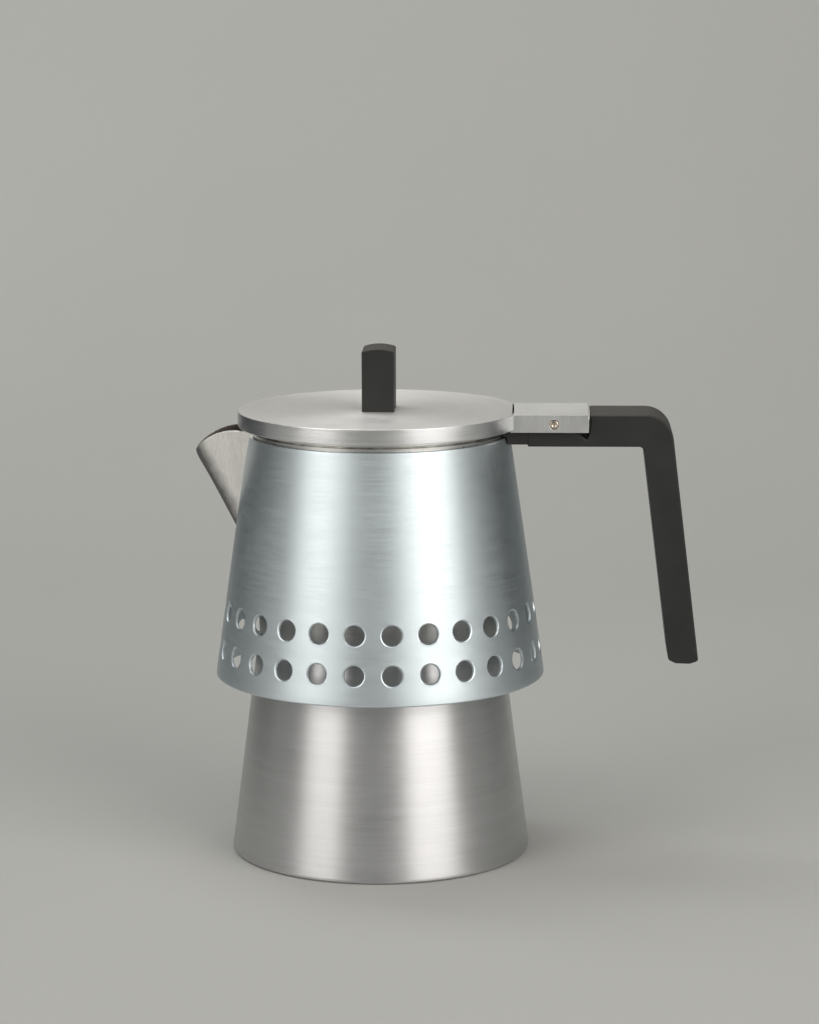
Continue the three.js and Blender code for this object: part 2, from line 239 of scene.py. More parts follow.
def worked(bm, tools, operation="DIFFERENCE"):
    """The mesh with each tool's solid cut out of it, or joined to it."""
    body = as_object(bm, "blank")
    cutters = [as_object(tool, "cutter") for tool in tools]
    for cutter in cutters:
        step = body.modifiers.new("work", "BOOLEAN")
        step.operation = operation
        step.solver = "EXACT"
        step.object = cutter
    result = bmesh.new()
    result.from_object(body, bpy.context.evaluated_depsgraph_get())
    for scrap in [body, *cutters]:
        mesh = scrap.data
        bpy.data.objects.remove(scrap)
        bpy.data.meshes.remove(mesh)
    bmesh.ops.remove_doubles(result, verts=result.verts, dist=0.002)
    bmesh.ops.dissolve_degenerate(result, edges=result.edges, dist=0.001)
    return result


def many(shapes):
    """Several separate closed shapes in one mesh."""
    bm = bmesh.new()
    for shape in shapes:
        mesh = bpy.data.meshes.new("part")
        shape.to_mesh(mesh)
        shape.free()
        bm.from_mesh(mesh)
        bpy.data.meshes.remove(mesh)
    return bm


def piece(bm, name, body, slot, finish, nodes=(), sharp=32):
    """Makes a finished piece in metres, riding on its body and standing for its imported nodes."""
    for face in bm.faces:
        face.smooth = True
    for edge in bm.edges:
        edge.smooth = not (len(edge.link_faces) == 2 and edge.calc_face_angle(0) > math.radians(sharp))
    bmesh.ops.scale(bm, vec=(MM, MM, MM), verts=bm.verts)
    made = as_object(bm, name)
    made.data.materials.append(finish)
    crisp = made.modifiers.new("crisp_shading", "WEIGHTED_NORMAL")
    crisp.keep_sharp = True
    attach(made, body)
    if nodes:
        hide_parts(*nodes)
    return made


# ------------------------------------------------------------------ finishes
def node(tree, kind, inputs=(), **settings):
    """Adds a shader node. An input is either another node's socket or a plain value."""
    made = tree.nodes.new(kind)
    for name, value in settings.items():
        setattr(made, name, value)
    for name, value in dict(inputs).items():
        if isinstance(value, bpy.types.NodeSocket):
            tree.links.new(value, made.inputs[name])
        else:
            made.inputs[name].default_value = value
    return made


def new_finish(name, colour, metallic, roughness):
    """A material with its plain values set, ready to be worked up."""
    finish = bpy.data.materials.new(name)
    finish.use_nodes = True
    tree = finish.node_tree
    shader = tree.nodes["Principled BSDF"]
    shader.inputs["Base Color"].default_value = (*colour, 1)
    shader.inputs["Metallic"].default_value = metallic
    shader.inputs["Roughness"].default_value = roughness
    return finish, tree, shader


def object_point(tree):
    """The coordinates of the shaded point on its object, in metres."""
    return node(tree, "ShaderNodeTexCoord").outputs["Object"]


def noise(tree, point, scale, stretch=(1, 1, 1), detail=3.0, rough=0.55):
    """Noise of about `scale` features per metre, stretched along an axis by a smaller number there."""
    spread = node(tree, "ShaderNodeMapping", {"Vector": point, "Scale": stretch})
    made = node(tree, "ShaderNodeTexNoise", {"Vector": spread.outputs["Vector"], "Scale": scale,
                                             "Detail": detail, "Roughness": rough})
    return made.outputs["Fac"]


def remap(tree, value, low, high, from_low=0.3, from_high=0.7):
    """Spreads a value between two levels, from the middle of a noise's range unless told."""
    made = node(tree, "ShaderNodeMapRange", {"Value": value, "From Min": from_low, "From Max": from_high,
                                             "To Min": low, "To Max": high})
    return made.outputs["Result"]


def combine(tree, operation, first, second):
    """Adds, multiplies and so on, with sockets or plain numbers."""
    made = node(tree, "ShaderNodeMath", operation=operation)
    for socket, value in zip(made.inputs, (first, second)):
        if isinstance(value, bpy.types.NodeSocket):
            tree.links.new(value, socket)
        else:
            socket.default_value = value
    return made.outputs[0]


def tinted(tree, factor, dark, light):
    """A colour between dark and light, by a factor from 0 to 1."""
    made = node(tree, "ShaderNodeMix", data_type="RGBA")
    tree.links.new(factor, made.inputs[0])
    made.inputs[6].default_value = (*dark, 1)
    made.inputs[7].default_value = (*light, 1)
    return made.outputs[2]


def shade(colour, amount):
    """A colour made lighter or darker by a factor."""
    return tuple(c * amount for c in colour)


def bumped(tree, shader, height, strength, distance):
    """Gives a finish a fine relief from a height."""
    bump = node(tree, "ShaderNodeBump", {"Height": height, "Strength": strength, "Distance": distance})
    tree.links.new(bump.outputs["Normal"], shader.inputs["Normal"])


def turned_point(tree, point):
    """Object coordinates turned into (distance from Z, small turn, height), for rings on a flat face."""
    apart = node(tree, "ShaderNodeSeparateXYZ", {"Vector": point})
    x, y, z = apart.outputs
    squares = combine(tree, "ADD", combine(tree, "MULTIPLY", x, x), combine(tree, "MULTIPLY", y, y))
    radius = combine(tree, "SQRT", squares, 0.0)
    around = combine(tree, "MULTIPLY", combine(tree, "ARCTAN2", y, x), 0.01)
    joined = node(tree, "ShaderNodeCombineXYZ", {"X": radius, "Y": around, "Z": z})
    return joined.outputs["Vector"]


def metal_finish(name, colour, roughness, grain, contrast=0.06, anisotropy=0.5, fine=2600, blotch=0.05,
                 bump=0.12):
    """Worked metal. grain is round (lines round Z), turned (rings on a flat top), or an axis, x or z."""
    finish, tree, shader = new_finish(name, colour, 1.0, roughness)
    point = object_point(tree)
    stretches = {"round": (0.02, 0.02, 1), "turned": (1, 0.25, 0.02), "x": (0.02, 1, 1), "z": (1, 1, 0.03)}
    along = stretches[grain]
    course = turned_point(tree, point) if grain == "turned" else point
    lines = noise(tree, course, fine, along, detail=4)
    bands = noise(tree, course, fine / 9, along, detail=2)
    patches = noise(tree, point, 34, detail=4, rough=0.6)
    mix = combine(tree, "ADD", combine(tree, "MULTIPLY", lines, 0.5), combine(tree, "MULTIPLY", bands, 0.3))
    mix = combine(tree, "ADD", mix, combine(tree, "MULTIPLY", patches, 0.2))
    factor = remap(tree, mix, 0, 1, 0.35, 0.65)
    colour_out = tinted(tree, factor, shade(colour, 1 - contrast), shade(colour, 1 + contrast))
    tree.links.new(colour_out, shader.inputs["Base Color"])
    rough_lines = remap(tree, lines, -0.05, 0.05)
    rough_patches = remap(tree, patches, -blotch, blotch)
    rough_sum = combine(tree, "ADD", rough_lines, rough_patches)
    tree.links.new(combine(tree, "ADD", rough_sum, roughness), shader.inputs["Roughness"])
    bumped(tree, shader, combine(tree, "ADD", lines, combine(tree, "MULTIPLY", bands, 0.6)), bump, 0.00004)
    if grain in ("round", "turned"):
        shader.inputs["Anisotropic"].default_value = anisotropy
        shader.inputs["Anisotropic Rotation"].default_value = 0.25
        tangent = node(tree, "ShaderNodeTangent", direction_type="RADIAL", axis="Z")
        tree.links.new(tangent.outputs["Tangent"], shader.inputs["Tangent"])
    return finish


def darkened(finish, factor, tone):
    """Draws a finish's base colour towards a tone, by a factor from 0 to 1."""
    tree = finish.node_tree
    shader = tree.nodes["Principled BSDF"]
    before = shader.inputs["Base Color"].links[0].from_socket
    made = node(tree, "ShaderNodeMix", data_type="RGBA")
    tree.links.new(factor, made.inputs[0])
    tree.links.new(before, made.inputs[6])
    made.inputs[7].default_value = (*tone, 1)
    tree.links.new(made.outputs[2], shader.inputs["Base Color"])


def paint_shade_by_attribute(finish, attribute, tone):
    """Paints shade into a finish softly where a vertex attribute of the piece says so."""
    tree = finish.node_tree
    share = node(tree, "ShaderNodeAttribute", attribute_name=attribute).outputs["Fac"]
    ripple = remap(tree, noise(tree, object_point(tree), 260, detail=3), -0.08, 0.08)
    uneven = combine(tree, "ADD", share, ripple)
    darkened(finish, remap(tree, uneven, 0.0, 0.92, 0.1, 0.8), tone)


def grime_and_shade_band(finish, low, high, tone, speckle, spread):
    """A darker band between two heights, broken into spots, used for grime and for painted shade. spread
    holds the noise levels where it starts and is full.
    """
    tree = finish.node_tree
    point = object_point(tree)
    height = node(tree, "ShaderNodeSeparateXYZ", {"Vector": point}).outputs["Z"]
    middle, half = (low + high) / 2, (high - low) / 2
    offset = combine(tree, "ABSOLUTE", combine(tree, "SUBTRACT", height, middle * MM), 0.0)
    band = remap(tree, offset, 1.0, 0.0, half * MM * 0.5, half * MM)
    spots = remap(tree, noise(tree, point, speckle, (1, 1, 0.6), detail=4), 0.0, 0.9, *spread)
    darkened(finish, combine(tree, "MULTIPLY", band, spots), tone)


def stain(finish, centre, reach, tone, strength):
    """A pale mark that fades out round a point, in metres, broken into upright runs."""
    tree = finish.node_tree
    point = object_point(tree)
    apart = node(tree, "ShaderNodeVectorMath", operation="DISTANCE")
    tree.links.new(point, apart.inputs[0])
    apart.inputs[1].default_value = centre
    near = remap(tree, apart.outputs["Value"], strength, 0.0, reach * 0.3, reach)
    runs = remap(tree, noise(tree, point, 420, (1, 1, 0.25), detail=4), 0.0, 1.0, 0.46, 0.62)
    darkened(finish, combine(tree, "MULTIPLY", near, runs), tone)


def bar_finish(name, colour, roughness):
    """Satin black bar: faint mottling, a fine grain and paler worn arrises."""
    finish, tree, shader = new_finish(name, colour, 0.0, roughness)
    point = object_point(tree)
    patches = noise(tree, point, 60, detail=5, rough=0.65)
    grain = noise(tree, point, 3800, detail=2)
    worn = node(tree, "ShaderNodeNewGeometry").outputs["Pointiness"]
    edge_wear_and_fold_shade = remap(tree, worn, 0, 0.5, 0.53, 0.62)
    body = tinted(tree, remap(tree, patches, 0, 1), shade(colour, 0.85), shade(colour, 1.2))
    edge = node(tree, "ShaderNodeMix", data_type="RGBA")
    tree.links.new(edge_wear_and_fold_shade, edge.inputs[0])
    tree.links.new(body, edge.inputs[6])
    edge.inputs[7].default_value = (*shade(colour, 1.5), 1)
    normal = node(tree, "ShaderNodeTexCoord").outputs["Normal"]
    facing = node(tree, "ShaderNodeSeparateXYZ", {"Vector": normal})
    upward = combine(tree, "MULTIPLY", remap(tree, facing.outputs["Z"], 0, 0.8, 0.2, 0.95),
                     remap(tree, patches, 0.7, 1.0))
    # Upward faces are drawn towards a paler brown, broken by the patches: partly dust, partly a painted
    # sheen from the light above.
    dust_and_top_sheen = node(tree, "ShaderNodeMix", data_type="RGBA")
    tree.links.new(upward, dust_and_top_sheen.inputs[0])
    tree.links.new(edge.outputs[2], dust_and_top_sheen.inputs[6])
    dust_and_top_sheen.inputs[7].default_value = (0.042, 0.036, 0.026, 1)
    tree.links.new(dust_and_top_sheen.outputs[2], shader.inputs["Base Color"])
    rough = combine(tree, "ADD", remap(tree, patches, -0.06, 0.06), remap(tree, grain, -0.04, 0.04))
    tree.links.new(combine(tree, "ADD", rough, roughness), shader.inputs["Roughness"])
    shader.inputs["Specular IOR Level"].default_value = 0.42
    height = combine(tree, "ADD", grain, combine(tree, "MULTIPLY", patches, 0.5))
    bumped(tree, shader, height, 0.12, 0.00005)
    return finish


def seal_finish(name, colour):
    """Pale rubber with faint stains."""
    finish, tree, shader = new_finish(name, colour, 0.0, 0.62)
    point = object_point(tree)
    stains = noise(tree, point, 90, detail=5, rough=0.6)
    grain = noise(tree, point, 2400, detail=3)
    tree.links.new(tinted(tree, remap(tree, stains, 0, 1), shade(colour, 0.7), colour),
                   shader.inputs["Base Color"])
    tree.links.new(remap(tree, grain, 0.55, 0.72), shader.inputs["Roughness"])
    bumped(tree, shader, grain, 0.2, 0.00008)
    return finish


SATIN_SKIRT = metal_finish("satin_anodised", (0.62, 0.683, 0.712), 0.47, "round", contrast=0.035,
                           anisotropy=0.25, fine=3800, blotch=0.025, bump=0.09)
stain(SATIN_SKIRT, (0.0402, -0.0225, 0.1405), 0.009, (0.80, 0.87, 0.85), 0.55)
BRUSHED_BODY = metal_finish("brushed_body", (0.60, 0.600, 0.607), 0.38, "round", contrast=0.08,
                            anisotropy=0.6, fine=4400, blotch=0.03, bump=0.14)
BRUSHED_NECK = metal_finish("brushed_neck", (0.56, 0.54, 0.51), 0.36, "round", contrast=0.15)
RIM_METAL = metal_finish("turned_rim_band", (0.61, 0.605, 0.59), 0.36, "round", contrast=0.08,
                         anisotropy=0.4)
grime_and_shade_band(RIM_METAL, SKIRT_HIGH.z - 0.4, SKIRT_HIGH.z + 0.5, (0.05, 0.043, 0.036), 520, (0.60, 0.68))
# Painted brownish shade and reflection under the lid's overhang, broken into spots.
grime_and_shade_band(RIM_METAL, RIM_Z - 1.9, RIM_Z - 0.9, (0.12, 0.10, 0.085), 160, (0.30, 0.75))
WALL_METAL = metal_finish("collector_wall", (0.62, 0.615, 0.60), 0.43, "round", contrast=0.10,
                          anisotropy=0.2)
TURNED_LID = metal_finish("turned_lid", (0.84, 0.822, 0.80), 0.50, "turned", contrast=0.04, anisotropy=0.3)
LID_RIM = metal_finish("turned_rim", (0.68, 0.688, 0.698), 0.33, "round", contrast=0.08, anisotropy=0.3)
CHANNEL_BRUSHED = metal_finish("channel_brushed", (0.92, 0.918, 0.90), 0.42, "z", contrast=0.08, fine=2200)
CHEEK_BRUSHED = metal_finish("cheek_brushed", (0.66, 0.665, 0.665), 0.40, "z", contrast=0.12, fine=2200)
SPOUT_SHEET = metal_finish("spout_brushed", (0.86, 0.85, 0.82), 0.44, "z", contrast=0.10, fine=2000,
                           bump=0.2)
# Painted shade along the spout's rounded fold, standing in for the shading of the fold's curve.
paint_shade_by_attribute(SPOUT_SHEET, "painted_fold_shade", (0.12, 0.12, 0.122))
SPOUT_INSIDE = metal_finish("spout_stained", (0.20, 0.17, 0.145), 0.5, "z", contrast=0.25, fine=1500,
                            bump=0.2)
BARE_STEEL = metal_finish("satin_steel", (0.50, 0.50, 0.49), 0.32, "round", contrast=0.08, anisotropy=0.3)
PIN_STEEL = metal_finish("warm_pin", (0.52, 0.45, 0.38), 0.30, "round", contrast=0.12, anisotropy=0.2)
VALVE_BRASS = metal_finish("valve_brass", (0.66, 0.50, 0.27), 0.30, "round", contrast=0.10, anisotropy=0.3)
BLACK_BAR = bar_finish("satin_black", (0.014, 0.0145, 0.0135), 0.48)
LUG_DARK = bar_finish("lug_dark", (0.020, 0.019, 0.018), 0.42)
SEAL_RUBBER = seal_finish("pale_silicone", (0.66, 0.61, 0.52))


# ------------------------------------------------------------------ boiler and valve
def boiler_r(z):
    """Outer radius of the boiler at a height."""
    return BOILER_HIGH.x - BOILER_TAPER * (z - 1)


def thread_ridge(root, crest, low, turns):
    """One helical ridge between two radii, on a neck or in a collar."""
    bm = bmesh.new()
    profile = [(root, 0.0), (crest, 0.85), (crest, 1.35), (root, 2.2)]
    verts = [bm.verts.new((r, 0, low + z)) for r, z in profile]
    face = bm.faces.new(verts)
    steps = round(72 * turns)
    bmesh.ops.spin(bm, geom=[face, *face.verts, *face.edges], cent=(0, 0, 0), axis=(0, 0, 1),
                   dvec=(0, 0, THREAD_PITCH * turns / steps), angle=2 * math.pi * turns, steps=steps,
                   use_merge=False, use_duplicate=False)
    return tidied(bm)


def make_boiler():
    """Boiler shell, from its foot up to the neck and down inside to its floor, and the neck's thread."""
    wall = BOILER_WALL
    shoulder_edge = boiler_r(SHOULDER_LOW)
    shell = turned([
        (0, 0, 0), (boiler_r(0), 0, 1.5), (shoulder_edge, SHOULDER_LOW, 0.5),
        (shoulder_edge - 1.2, SHOULDER_Z, 0.6), (NECK_CORE, SHOULDER_Z, 0.4), (NECK_CORE, NECK_TOP, 0.5),
        (NECK_BORE, NECK_TOP, 0.4), (NECK_BORE, 76.4, 1.5), (boiler_r(73) - wall, 73, 2),
        (boiler_r(4) - wall, BOILER_FLOOR, 3), (0, BOILER_FLOOR, 0),
    ], sides=216)
    piece(shell, "boiler_shell", "boiler", "brushed_aluminium", BRUSHED_BODY, ["boiler"])
    ridge = thread_ridge(NECK_CORE - 0.2, NECK_CREST, SHOULDER_Z + 1.6, 2.8)
    piece(ridge, "boiler_thread", "boiler", "brushed_aluminium", BRUSHED_BODY, sharp=25)


def make_valve():
    """Safety valve on the back: hexagonal brass body, sprung steel poppet and screwed-in retainer."""
    face = VALVE_FACE
    to_back = Matrix.Translation((0, 0, VALVE_Z)) @ Matrix.Rotation(-math.pi / 2, 4, "X")
    hexagon = soften(rod(7, face, face + 3.6, 6), 0.45, 3)
    barrel = turned([(2.6, 42, 0.2), (4, 42, 0.4), (4, face + 3, 0), (5, face + 3, 0), (5, 53.3, 0.5),
                     (2.6, 53.3, 0.3)], 64)
    bore = rod(2.55, face - 4, 60, 64)
    body = worked(worked(hexagon, [bore]), [barrel], "UNION")
    piece(moved(body, to_back), "valve_hexagon", "boiler", "valve_brass", VALVE_BRASS, ["valve_body"])
    poppet = turned([(0, 43.9, 0), (2.1, 43.9, 0.2), (2.1, 44.7, 0.2), (0.8, 45.1, 0.2), (0.8, 55.2, 0.3),
                     (0, 55.4, 0)], 48)
    piece(moved(poppet, to_back), "valve_pin", "valve_poppet", "bare_steel", BARE_STEEL, ["valve_poppet"])
    collar = turned([(1.2, 50.9, 0.1), (2.45, 50.9, 0.1), (2.45, 52.7, 0.2), (1.2, 52.7, 0.2)], 48)
    collar = worked(collar, [block((-3, -0.3, 52.2), (3, 0.3, 53))])
    piece(moved(collar, to_back), "valve_collar", "boiler", "valve_brass", VALVE_BRASS, ["valve_retainer"])
    piece(moved(coil_spring(45.3, 50.5, 1.6, 0.28, 5), to_back), "valve_coil", "boiler", "bare_steel",
          BARE_STEEL, ["valve_spring"])


def coil_spring(low, high, radius, wire, turns):
    """A helical spring about Z: a small disc of wire, spun and raised."""
    bm = bmesh.new()
    ring = bmesh.ops.create_circle(bm, cap_ends=True, segments=8, radius=wire)["verts"]
    upright = Matrix.Translation((radius, 0, low)) @ Matrix.Rotation(math.pi / 2, 4, "X")
    bmesh.ops.transform(bm, matrix=upright, verts=ring)
    steps = 24 * turns
    bmesh.ops.spin(bm, geom=bm.faces[:] + bm.verts[:] + bm.edges[:], cent=(0, 0, 0), axis=(0, 0, 1),
                   dvec=(0, 0, (high - low) / steps), angle=2 * math.pi * turns, steps=steps,
                   use_merge=False, use_duplicate=False)
    return tidied(bm)


# ------------------------------------------------------------------ basket, filters and gasket
def pierced(radius, low, high, hole_r, rings, step):
    """A thin disc with rings of small holes."""
    disc = turned([(0, low, 0), (radius, low, 0.15), (radius, high, 0.15), (0, high, 0)], 120)
    drills = [rod(hole_r, low - 1, high + 1, 10)]
    for ring in range(1, rings + 1):
        for k in range(6 * ring):
            angle = 2 * math.pi * k / (6 * ring)
            place = (ring * step * math.cos(angle), ring * step * math.sin(angle))
            drills.append(rod(hole_r, low - 1, high + 1, 10, place))
    return worked(disc, [many(drills)])


def make_basket():
    """Coffee basket with its tube, the two pierced filters and the seal."""
    funnel = turned([
        (2.8, 6, 0.2), (4.1, 6, 0.3), (4.1, 63, 2), (28.5, 68.6, 2), (31.4, 70.6, 0.8), (31.4, 90.3, 0.3),
        (34.7, 90.3, 0.25), (34.7, 91.3, 0.25), (30.3, 91.3, 0.5), (30.3, 71, 0.4), (27, 71, 0.3),
        (26, 69.4, 1), (2.8, 64.2, 1.5),
    ], 144)
    piece(funnel, "coffee_basket", "funnel", "brushed_aluminium", BRUSHED_NECK, ["funnel"])
    piece(pierced(30, 71.3, 72.1, 0.6, 6, 4.5), "basket_filter", "funnel", "bare_steel", BARE_STEEL,
          ["funnel_filter"])
    ring = turned([(27, 91.6, 0.5), (SEAL_R, 91.6, 0.5), (SEAL_R, 94.9, 0.5), (27, 94.9, 0.5)], 144)
    piece(ring, "seal_ring", "gasket", "seal_rubber", SEAL_RUBBER, ["filter_gasket"])
    piece(pierced(30.3, 95.2, 96.2, 0.55, 6, 4.3), "upper_filter", "filter", "bare_steel", BARE_STEEL,
          ["filter_plate"])


# ------------------------------------------------------------------ spout
def fold_x(z):
    """x of the outside of the spout's fold, at a height."""
    return TIP_X + (TIP_Z - z) * FOLD_SLOPE


def tip_fullness(t, z):
    """How much fuller the rounded tip is than a straight fold would be."""
    depth = max(TIP_Z - z, 0)
    return FOLD_SLOPE * depth * math.exp(-depth / 2.5) * max(1 - 2 * abs(t), 0)


def sheet_point(t, z, inset):
    """A point of the folded sheet: t from -1 to 1 across it, with the rounded fold inside a half."""
    bend = max(1.5, 1.6 + 0.06 * (z - 114))
    turn = math.pi / 2 - SPOUT_HALF_ANGLE
    side = 1 if t > 0 else -1
    angle = min(abs(t) * 2, 1) * turn
    radius = bend - inset
    x = fold_x(z) + bend - radius * math.cos(angle) - tip_fullness(t, z)
    y = radius * math.sin(angle)
    run = max(abs(t) * 2 - 1, 0) * 34
    return Vector((x + run * math.cos(SPOUT_HALF_ANGLE), side * (y + run * math.sin(SPOUT_HALF_ANGLE)), z))


def lip_z(x):
    """Height of the spout's arched lip over a place along x."""
    if x > LIP_CREST.x:
        t = min((x - LIP_CREST.x) / (LIP_END.x - LIP_CREST.x), 1)
        return LIP_CREST.y + (LIP_END.y - LIP_CREST.y) * t * t
    t = min((LIP_CREST.x - x) / (LIP_CREST.x - TIP_X), 1)
    fall = (t * t + 1 - math.sqrt(1 - t * t)) / 2     # half a parabola, half a quarter circle
    return LIP_CREST.y - (LIP_CREST.y - TIP_Z) * fall


def crossing(miss, low, high):
    """Where miss() changes sign between two values, by halving."""
    rising = miss(high) > miss(low)
    for _ in range(40):
        middle = (low + high) / 2
        if (miss(middle) > 0) == rising:
            high = middle
        else:
            low = middle
    return low


def spout_core(inset):
    """The solid inside the folded sheet, as a cutter for the walls behind it."""
    bm = bmesh.new()
    loops = []
    for level in range(13):
        z = 98 + level * 5
        points = [sheet_point(-1 + k / 16, z, inset) for k in range(33)]
        loops.append([bm.verts.new(p) for p in points])
    for lower, upper in zip(loops, loops[1:]):
        for a, b, c, d in zip(lower, lower[1:], upper[1:], upper):
            bm.faces.new((a, b, c, d))
        bm.faces.new((lower[-1], lower[0], upper[0], upper[-1]))
    bm.faces.new(loops[0])
    bm.faces.new(loops[-1])
    return tidied(bm)


def make_spout():
    """The folded sheet, from the foot where it meets the wall up to the lip."""
    wall_r = 43.8

    def lip_of(t):
        return crossing(lambda z: z - lip_z(sheet_point(t, z, 0).x), 120, 165)

    def foot_of(t):
        return crossing(lambda z: sheet_point(t, z, 0).to_2d().length - wall_r, 95, 165)

    reach = crossing(lambda t: foot_of(t) - lip_of(t), 0.5, 1.0)
    bm = bmesh.new()
    columns, rows = 48, 24
    bmesh.ops.create_grid(bm, x_segments=columns, y_segments=rows, size=1)
    for vert in bm.verts:
        t = vert.co.x * reach
        low, high = foot_of(t), lip_of(t)
        height = low + (high - low) * (vert.co.y + 1) / 2
        vert.co = sheet_point(t, height, 0)
    bmesh.ops.remove_doubles(bm, verts=bm.verts, dist=0.01)
    bmesh.ops.recalc_face_normals(bm, faces=bm.faces)
    middle = min(bm.faces, key=lambda f: (f.calc_center_median() - Vector((TIP_X, 0, 135))).length)
    if middle.normal.x > 0:
        bmesh.ops.reverse_faces(bm, faces=bm.faces)
    bmesh.ops.solidify(bm, geom=bm.faces, thickness=SHEET)
    bmesh.ops.recalc_face_normals(bm, faces=bm.faces)
    soften(bm, 0.2, 2, degrees=50)
    beak = piece(bm, "spout_beak", "collector", "spout_sheet", SPOUT_SHEET, ["spout"])
    # Painted shade: how near each point is to the fold, full at the fold and gone at the reach.
    edge_wear_and_fold_shade = beak.data.attributes.new("painted_fold_shade", "FLOAT", "POINT")
    for vert, share in zip(beak.data.vertices, edge_wear_and_fold_shade.data):
        near = 1 - (vert.co.x / MM - fold_x(vert.co.z / MM)) / FOLD_SHADE_REACH
        share.value = min(max(near, 0), 1)
    beak.data.materials.append(SPOUT_INSIDE)
    for face in beak.data.polygons:
        centre = face.center / MM
        inner = centre.x - fold_x(centre.z) > SHEET * 0.8 and face.normal.y * centre.y < 0
        deep = face.normal.x > 0.5 and abs(face.normal.z) < 0.5
        if inner or deep:
            face.material_index = 1


# ------------------------------------------------------------------ skirt
def skirt_r(z):
    """Outer radius of the skirt at a height."""
    return SKIRT_LOW_R - SKIRT_TAPER * (z - SKIRT_LOW.z)


def hole_patch(bm, centre_z, half_z):
    """A rectangle of the skirt, one hole wide, drawn flat round its hole, with rings between the two."""
    half_x = math.pi / HOLES_PER_ROW * skirt_r(centre_z)

    def on_ray(angle, radius, squareness):
        c, s = math.cos(angle), math.sin(angle)
        square = Vector((half_x * c, half_z * s)) / max(abs(c), abs(s))
        return (*(square.normalized() * radius).lerp(square, squareness), 0)

    loop = bmesh.ops.create_circle(bm, cap_ends=False, segments=HOLE_SIDES, radius=HOLE_R)["verts"]
    edges = list({edge for vert in loop for edge in vert.link_edges})
    for vert in loop:
        vert.co = on_ray(math.atan2(vert.co.y, vert.co.x), HOLE_R, 0)
    for radius, squareness in ((HOLE_R + 0.7, 0.0), (HOLE_R + 1.4, 0.25), (HOLE_R, 1.0)):
        grown = bmesh.ops.extrude_edge_only(bm, edges=edges)["geom"]
        edges = [g for g in grown if isinstance(g, bmesh.types.BMEdge)]
        for vert in [g for g in grown if isinstance(g, bmesh.types.BMVert)]:
            vert.co = on_ray(math.atan2(vert.co.y / half_z, vert.co.x / half_x), radius, squareness)
    return edges


def make_skirt():
    """Outer skirt: one sector with its two holes, wrapped on the cone, then spun round."""
    bm = bmesh.new()
    flat_r = 50              # the sector is drawn unrolled at this radius
    half_z = (HOLE_ROWS[1] - HOLE_ROWS[0]) / 2
    for centre_z in HOLE_ROWS:
        known = set(bm.verts)
        edges = hole_patch(bm, centre_z, half_z)
        fresh = [v for v in bm.verts if v not in known]
        half_x = math.pi / HOLES_PER_ROW * skirt_r(centre_z)
        edge_verts = {v for e in edges for v in e.verts}
        for v in fresh:
            height = centre_z + v.co.y
            if v in edge_verts:
                turn = v.co.x / half_x * math.pi / HOLES_PER_ROW
            else:
                turn = math.asin(v.co.x / skirt_r(height))
            v.co = (turn * flat_r, height, 0)
    rims = {"low": [], "high": []}
    top_z, low_z = HOLE_ROWS[1] + half_z, HOLE_ROWS[0] - half_z
    bmesh.ops.remove_doubles(bm, verts=bm.verts, dist=0.01)
    for e in bm.edges:
        if e.is_boundary and all(abs(v.co.y - top_z) < 0.01 for v in e.verts):
            rims["high"].append(e)
        if e.is_boundary and all(abs(v.co.y - low_z) < 0.01 for v in e.verts):
            rims["low"].append(e)
    heights = {"low": [SKIRT_LOW.z], "high": [top_z + (SKIRT_HIGH.z - top_z) * k / 8 for k in range(1, 9)]}
    for side, edges in rims.items():
        for height in heights[side]:
            grown = bmesh.ops.extrude_edge_only(bm, edges=edges)["geom"]
            edges = [g for g in grown if isinstance(g, bmesh.types.BMEdge)]
            for v in [g for g in grown if isinstance(g, bmesh.types.BMVert)]:
                v.co.y = height
    for v in bm.verts:
        turn, height = v.co.x / flat_r + math.pi + HOLE_TURN, v.co.y
        v.co = (skirt_r(height) * math.cos(turn), skirt_r(height) * math.sin(turn), height)
    whole = bm.verts[:] + bm.edges[:] + bm.faces[:]
    bmesh.ops.spin(bm, geom=whole, cent=(0, 0, 0), axis=(0, 0, 1), dvec=(0, 0, 0), use_duplicate=True,
                   angle=2 * math.pi * (HOLES_PER_ROW - 1) / HOLES_PER_ROW, steps=HOLES_PER_ROW - 1)
    bmesh.ops.remove_doubles(bm, verts=bm.verts, dist=0.01)
    bmesh.ops.recalc_face_normals(bm, faces=bm.faces)
    sample = bm.faces[0]
    if sample.normal.dot(sample.calc_center_median().to_2d().to_3d()) < 0:
        bmesh.ops.reverse_faces(bm, faces=bm.faces)
    bmesh.ops.solidify(bm, geom=bm.faces, thickness=SKIRT_WALL)
    bmesh.ops.recalc_face_normals(bm, faces=bm.faces)

    def outside(edge):
        return all(v.co.to_2d().length > skirt_r(v.co.z) - 0.1 for v in edge.verts)

    soften(bm, HOLE_CHAMFER, 2, degrees=50, keep=outside)
    bm = worked(bm, [spout_core(0.55)])
    piece(bm, "skirt_shell", "collector", "satin_skirt", SATIN_SKIRT, ["outer_skirt"], sharp=28)


